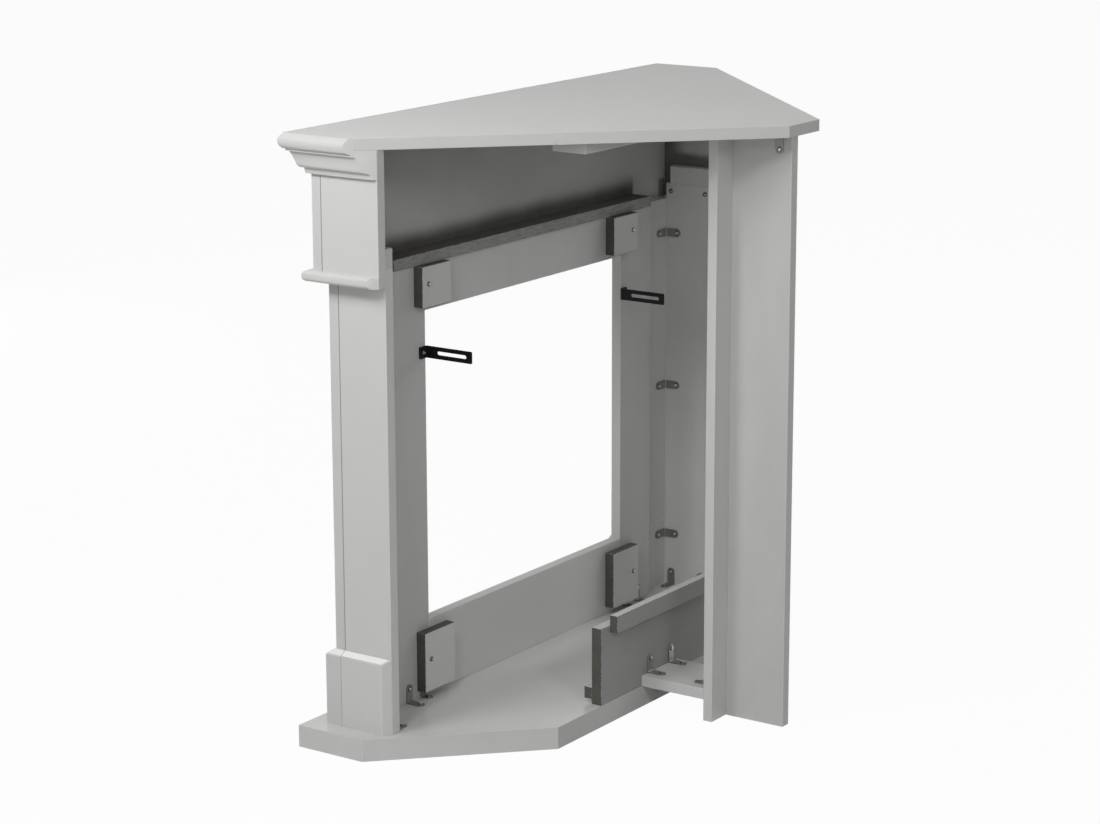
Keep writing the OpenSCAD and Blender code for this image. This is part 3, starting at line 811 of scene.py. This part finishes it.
class FIREPLACE_OT_pilasters(bpy.types.Operator):
    """Finish the pilasters and their plinths"""

    bl_idname = "fireplace.pilasters"
    bl_label = "Pilasters and plinths"

    def execute(self, context):
        for node in both("pilaster_front", "pilaster_side"):
            painted_board(node)
        for side in ("_left", "_right"):
            pair = ["plinth_front" + side, "plinth_side" + side]
            for node, other in (pair, reversed(pair)):
                # The sloping bevels take the much lighter paint, a painted highlight.
                painted_board(
                    node,
                    arris=paint().plinth_arris,
                    slope=pooled_paint(),
                    beside=[other],
                    glued=["base_plate"],
                )
        return {"FINISHED"}


class FIREPLACE_OT_panel_boards(bpy.types.Operator):
    """Finish the four boards around the opening"""

    bl_idname = "fireplace.panel_boards"
    bl_label = "Field panel"

    def execute(self, context):
        for node in [*both("panel_stile"), "panel_header"]:
            painted_board(node)
        # The sill's inner face takes the lighter satin paint: painted light, for the light thrown up
        # on it from the base plate.
        painted_board("panel_sill", back=satin_paint())
        return {"FINISHED"}


class FIREPLACE_OT_base(bpy.types.Operator):
    """Finish the base plate: glossy above, and thinly painted below and behind"""

    bl_idname = "fireplace.base"
    bl_label = "Base plate"

    def execute(self, context):
        painted_board("base_plate", front=glossy_paint(), thin_behind=True)
        return {"FINISHED"}


class FIREPLACE_OT_blocks(bpy.types.Operator):
    """Finish the corner blocks, which are painted on their faces and raw on their edges"""

    bl_idname = "fireplace.blocks"
    bl_label = "Corner blocks"

    def execute(self, context):
        for node in both("block_upper") + ["block_lower_left"]:
            sawn_board(node, raw_board(), raw_board())
        # This lower block's faces take the lighter satin paint: painted light from the base plate
        # below.
        sawn_board("block_lower_right", raw_board(), raw_board(), face=satin_paint())
        return {"FINISHED"}


class FIREPLACE_OT_rear_frame(bpy.types.Operator):
    """Finish the rail with its batten and cleat, the stretcher and the post"""

    bl_idname = "fireplace.rear_frame"
    bl_label = "Rail, stretcher and post"

    def execute(self, context):
        for node in ("rail", "rail_batten", "rail_cleat"):
            sawn_board(node, raw_board(), thin_paint(), face=dull_paint())
        painted_board("post_cross")
        # The stretcher's top and the fin's face take the darker thin paint: on the fin partly a thin
        # coat on a hidden face, and on both painted shade.
        for node in ("stretcher", "post_fin"):
            painted_board(node, front=thin_paint())
        return {"FINISHED"}


# ---------------------------------------------------------------- steel

SCREW_SIDES = 28
DOME_STEPS = 6
GOLDEN_TURN = math.radians(137.5)


class FIREPLACE_OT_brackets(bpy.types.Operator):
    """Finish the zinc-plated angle brackets"""

    bl_idname = "fireplace.brackets"
    bl_label = "Angle brackets"

    def execute(self, context):
        single = ["panel_foot_brackets", "rail_brackets", "post_foot_bracket", "post_top_bracket"]
        for node in both("corner_brackets", "side_foot_brackets") + single:
            steel_piece(node, zinc_plate(), "zinc_steel")
        return {"FINISHED"}


class FIREPLACE_OT_slotted_arms(bpy.types.Operator):
    """Finish the black slotted arms"""

    bl_idname = "fireplace.slotted_arms"
    bl_label = "Slotted arms"

    def execute(self, context):
        for node in both("insert_bracket"):
            steel_piece(node, black_coat(), "black_steel", body=node)
        return {"FINISHED"}


def solids_of(mesh):
    """The separate solids in a mesh, each as the places of its vertices."""
    seen = set()
    for first in mesh.verts:
        if first in seen:
            continue
        seen.add(first)
        reached = [first]
        for vertex in reached:
            for edge in vertex.link_edges:
                other = edge.other_vert(vertex)
                if other not in seen:
                    seen.add(other)
                    reached.append(other)
        yield [vertex.co.copy() for vertex in reached]


class Screw:
    """The seat, direction and sizes of one screw of the frame."""

    def __init__(self, points):
        low = Vector(min(point[axis] for point in points) for axis in range(3))
        high = Vector(max(point[axis] for point in points) for axis in range(3))
        size = high - low
        middle = (low + high) / 2
        along = max(range(3), key=lambda axis: size[axis])
        outward = [axis for axis in range(3) if axis != along]
        turned = [
            (point[along], math.hypot(*(point[axis] - middle[axis] for axis in outward)))
            for point in points
        ]
        self.head_radius = max(radius for _, radius in turned)
        rim = [at for at, radius in turned if radius > 0.98 * self.head_radius]
        head_up = sum(rim) / len(rim) > middle[along]
        self.direction = Vector((0, 0, 0))
        self.direction[along] = 1 if head_up else -1
        seat = min(rim) if head_up else max(rim)
        self.seat = middle.copy()
        self.seat[along] = seat
        self.head_height = abs((high if head_up else low)[along] - seat)
        self.length = size[along] - self.head_height
        tip = low[along] if head_up else high[along]
        self.shank_radius = max(radius for at, radius in turned if abs(at - tip) < 0.1 * MM)


def lathe(mesh, profile):
    """Turns a profile of (radius, height) points about Z."""
    rings = []
    for radius, height in profile:
        if radius == 0:
            rings.append([mesh.verts.new((0, 0, height))] * SCREW_SIDES)
            continue
        ring = []
        for step in range(SCREW_SIDES):
            turn = 2 * math.pi * step / SCREW_SIDES
            ring.append(mesh.verts.new((radius * math.cos(turn), radius * math.sin(turn), height)))
        rings.append(ring)
    for lower, upper in zip(rings, rings[1:]):
        for step in range(SCREW_SIDES):
            after = (step + 1) % SCREW_SIDES
            corners = dict.fromkeys((lower[step], lower[after], upper[after], upper[step]))
            mesh.faces.new(corners)


def cutter(width, span, depth, top):
    """A tapered bar that cuts one slot of a crossed recess."""
    lower_part = (0.55 * span, 0.8 * width, top - depth)
    upper_part = (1.25 * span, width, top + 1 * MM)
    mesh = bmesh.new()
    bmesh.ops.create_cube(mesh, size=1.0)
    for vertex in mesh.verts:
        long, wide, height = lower_part if vertex.co.z < 0 else upper_part
        vertex.co = (vertex.co.x * long, vertex.co.y * wide, height)
    return placed("cutter", mesh)


def pan_head_screw(sample):
    """One pan-head screw, seat at the origin and head upwards, with its crossed recess cut."""
    radius, height, shank = sample.head_radius, sample.head_height, sample.shank_radius
    tip = -sample.length
    rim = steel().rim
    profile = [(0, tip), (shank, tip), (shank, 0), (radius, 0)]
    for step in range(DOME_STEPS):
        turn = math.pi / 2 * step / DOME_STEPS
        profile.append((radius * math.cos(turn), rim + (height - rim) * math.sin(turn)))
    profile.append((0, height))
    mesh = bmesh.new()
    lathe(mesh, profile)
    screw = placed("pan_head_screw", mesh)
    bars = []
    for turn in (0, math.pi / 2):
        bar = cutter(steel().wing, radius * 1.05, steel().recess, height)
        bar.rotation_euler.z = turn
        bars.append(bar)
        cut = screw.modifiers.new("slot", "BOOLEAN")
        cut.operation = "DIFFERENCE"
        cut.solver = "EXACT"
        cut.object = bar
    bpy.context.view_layer.update()
    shape = screw.evaluated_get(bpy.context.evaluated_depsgraph_get()).to_mesh().copy()
    for temporary in (screw, *bars):
        bpy.data.objects.remove(temporary)
    return shape


def screw_set(node, bright_share):
    """Puts a pan-head screw in the place of each plain screw, its middle bright, partly as the steel
    and partly as a painted highlight, and its rim dark as darker steel with a painted shadow ring
    round the head.
    """
    plain = welded(node)
    screws = [Screw(points) for points in solids_of(plain)]
    plain.free()
    shape = pan_head_screw(screws[0])
    # Faces of the head's top inside this radius are bright, partly as painted highlight; the rest
    # dark, with a painted shadow ring at the rim.
    rubbed = screws[0].head_radius * bright_share
    for face in shape.polygons:
        face.material_index = int(face.center.z > 0 and face.center.xy.length < rubbed)
    mesh = bmesh.new()
    for number, screw in enumerate(screws):
        first = len(mesh.verts)
        mesh.from_mesh(shape)
        mesh.verts.ensure_lookup_table()
        turn = screw.direction.to_track_quat("Z", "Y").to_matrix().to_4x4()
        driven = Matrix.Rotation(GOLDEN_TURN * number, 4, "Z")
        place = Matrix.Translation(screw.seat) @ turn @ driven
        bmesh.ops.transform(mesh, matrix=place, verts=mesh.verts[first:])
    return finished(node, mesh, [dark_steel(), bright_steel()], "screw_steel")


class FIREPLACE_OT_screws(bpy.types.Operator):
    """Put pan-head screws with crossed recesses in the screws' places"""

    bl_idname = "fireplace.screws"
    bl_label = "Screws"

    def execute(self, context):
        screw_set("bracket_screws", 0.65)
        for node in ("block_screws", "lap_screws", "pivot_screws"):
            screw_set(node, 0.5)
        return {"FINISHED"}


# ---------------------------------------------------------------- stage

# Each lamp's place and the side of its square
LAMPS = {
    "key": ((2.65, 0.55, 2.6), 0.6),
    "side": ((1.6, -0.5, 1.9), 0.6),
    "front": ((-0.8, -3.5, 1.1), 2.0),
    "low": ((2.0, 0.8, 1.2), 0.6),
    "rear": ((2.0, 3.2, 2.4), 0.8),
    "far": ((-3.0, 1.0, 2.0), 1.5),
}
FILM_WIDTH = 36.0
FLOOR_REACH = 30.0
WHITE = (1.0, 1.0, 1.0, 1.0)
FLOOR_PAINT = (0.8, 0.8, 0.8, 1.0)


class FIREPLACE_OT_stage(bpy.types.Operator):
    """Set up the camera, the lamps and the backdrop"""

    bl_idname = "fireplace.stage"
    bl_label = "Stage"

    def execute(self, context):
        stage = context.scene.fireplace_stage
        place_camera(context.scene, stage)
        light_world(context.scene, stage)
        lay_floor(stage)
        for name, (place, size) in LAMPS.items():
            hang_lamp(name + "_lamp", place, size, getattr(stage, name))
        context.scene.view_settings.view_transform = "Standard"
        return {"FINISHED"}


def place_camera(scene, stage):
    data = bpy.data.cameras.new("camera")
    data.sensor_width = FILM_WIDTH
    data.lens = stage.lens
    camera = bpy.data.objects.new("camera", data)
    turn = Matrix.Rotation(stage.azimuth, 4, "Z")
    tilt = Matrix.Rotation(math.pi / 2 + stage.elevation, 4, "X")
    roll = Matrix.Rotation(stage.roll, 4, "Z")
    camera.matrix_world = Matrix.Translation(stage.position) @ turn @ tilt @ roll
    scene.collection.objects.link(camera)
    scene.camera = camera


def seen_directly(finish):
    """1 for the camera's rays and for reflected and refracted ones, otherwise 0."""
    kinds = ("Is Camera Ray", "Is Glossy Ray", "Is Transmission Ray")
    camera, glossy, glass = (finish.node("ShaderNodeLightPath", output=kind) for kind in kinds)
    return camera + (1 - camera) * (glossy + (1 - glossy) * glass)


def light_world(scene, stage):
    """Plain soft light, and a white backdrop for the camera, for metal and for glass."""
    world = bpy.data.worlds.new("studio")
    finish = Finish(world)
    around = finish.node("ShaderNodeBackground", {"Color": WHITE, "Strength": stage.ambient})
    backdrop = finish.node("ShaderNodeBackground", {"Color": WHITE, "Strength": 1.0})
    mixed = finish.node("ShaderNodeMixShader", {0: seen_directly(finish), 1: around, 2: backdrop})
    finish.node("ShaderNodeOutputWorld", {"Surface": mixed})
    scene.world = world


def lay_floor(stage):
    """A pale floor that keeps the object's shadow and is seen as almost plain white."""
    material = bpy.data.materials.new("white_floor")
    finish = Finish(material)
    pale = finish.node("ShaderNodeBsdfDiffuse", {"Color": FLOOR_PAINT})
    white = finish.node("ShaderNodeEmission", {"Color": WHITE, "Strength": 1.0})
    share = seen_directly(finish) * stage.backdrop
    mixed = finish.node("ShaderNodeMixShader", {0: share, 1: pale, 2: white})
    finish.node("ShaderNodeOutputMaterial", {"Surface": mixed})
    mesh = bmesh.new()
    bmesh.ops.create_grid(mesh, x_segments=1, y_segments=1, size=FLOOR_REACH)
    floor = placed("floor", mesh)
    floor.data.materials.append(material)
    floor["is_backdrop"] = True


def hang_lamp(name, place, size, power):
    """A square soft lamp that faces the middle of the object."""
    data = bpy.data.lights.new(name, "AREA")
    data.size = size
    data.energy = power
    lamp = bpy.data.objects.new(name, data)
    lamp.location = place
    middle = (CAD_BOX[0] + CAD_BOX[1]) / 2
    lamp.rotation_euler = (middle - lamp.location).to_track_quat("-Z", "Y").to_euler()
    bpy.context.scene.collection.objects.link(lamp)


# ---------------------------------------------------------------- add-on


class FIREPLACE_PT_panel(bpy.types.Panel):
    """Lists the steps that build the fireplace"""

    bl_idname = "FIREPLACE_PT_panel"
    bl_label = "Corner fireplace"
    bl_space_type = "VIEW_3D"
    bl_region_type = "UI"
    bl_category = "Fireplace"

    def draw(self, context):
        for step in STEPS:
            self.layout.operator(step.bl_idname)


STEPS = (
    FIREPLACE_OT_top,
    FIREPLACE_OT_frieze,
    FIREPLACE_OT_pilasters,
    FIREPLACE_OT_panel_boards,
    FIREPLACE_OT_base,
    FIREPLACE_OT_blocks,
    FIREPLACE_OT_rear_frame,
    FIREPLACE_OT_brackets,
    FIREPLACE_OT_slotted_arms,
    FIREPLACE_OT_screws,
    FIREPLACE_OT_stage,
)
SETTINGS = {
    "fireplace_paint": PaintSettings,
    "fireplace_steel": SteelSettings,
    "fireplace_stage": StageSettings,
}


def register():
    for settings in SETTINGS.values():
        bpy.utils.register_class(settings)
    for name, settings in SETTINGS.items():
        setattr(bpy.types.Scene, name, PointerProperty(type=settings))
    for step in STEPS + (FIREPLACE_PT_panel,):
        bpy.utils.register_class(step)


def unregister():
    for step in STEPS + (FIREPLACE_PT_panel,):
        bpy.utils.unregister_class(step)
    for name, settings in SETTINGS.items():
        delattr(bpy.types.Scene, name)
        bpy.utils.unregister_class(settings)


def main():
    register()
    for step in STEPS:
        name = step.bl_idname.split(".")[1]
        if getattr(bpy.ops.fireplace, name)() != {"FINISHED"}:
            raise RuntimeError(f"{step.bl_label} did not finish")
    boxes = {"cad": CAD_BOX, "visual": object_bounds()}
    sizes = {key: [list(corner) for corner in box] for key, box in boxes.items()}


if __name__ == "__main__":
    main()
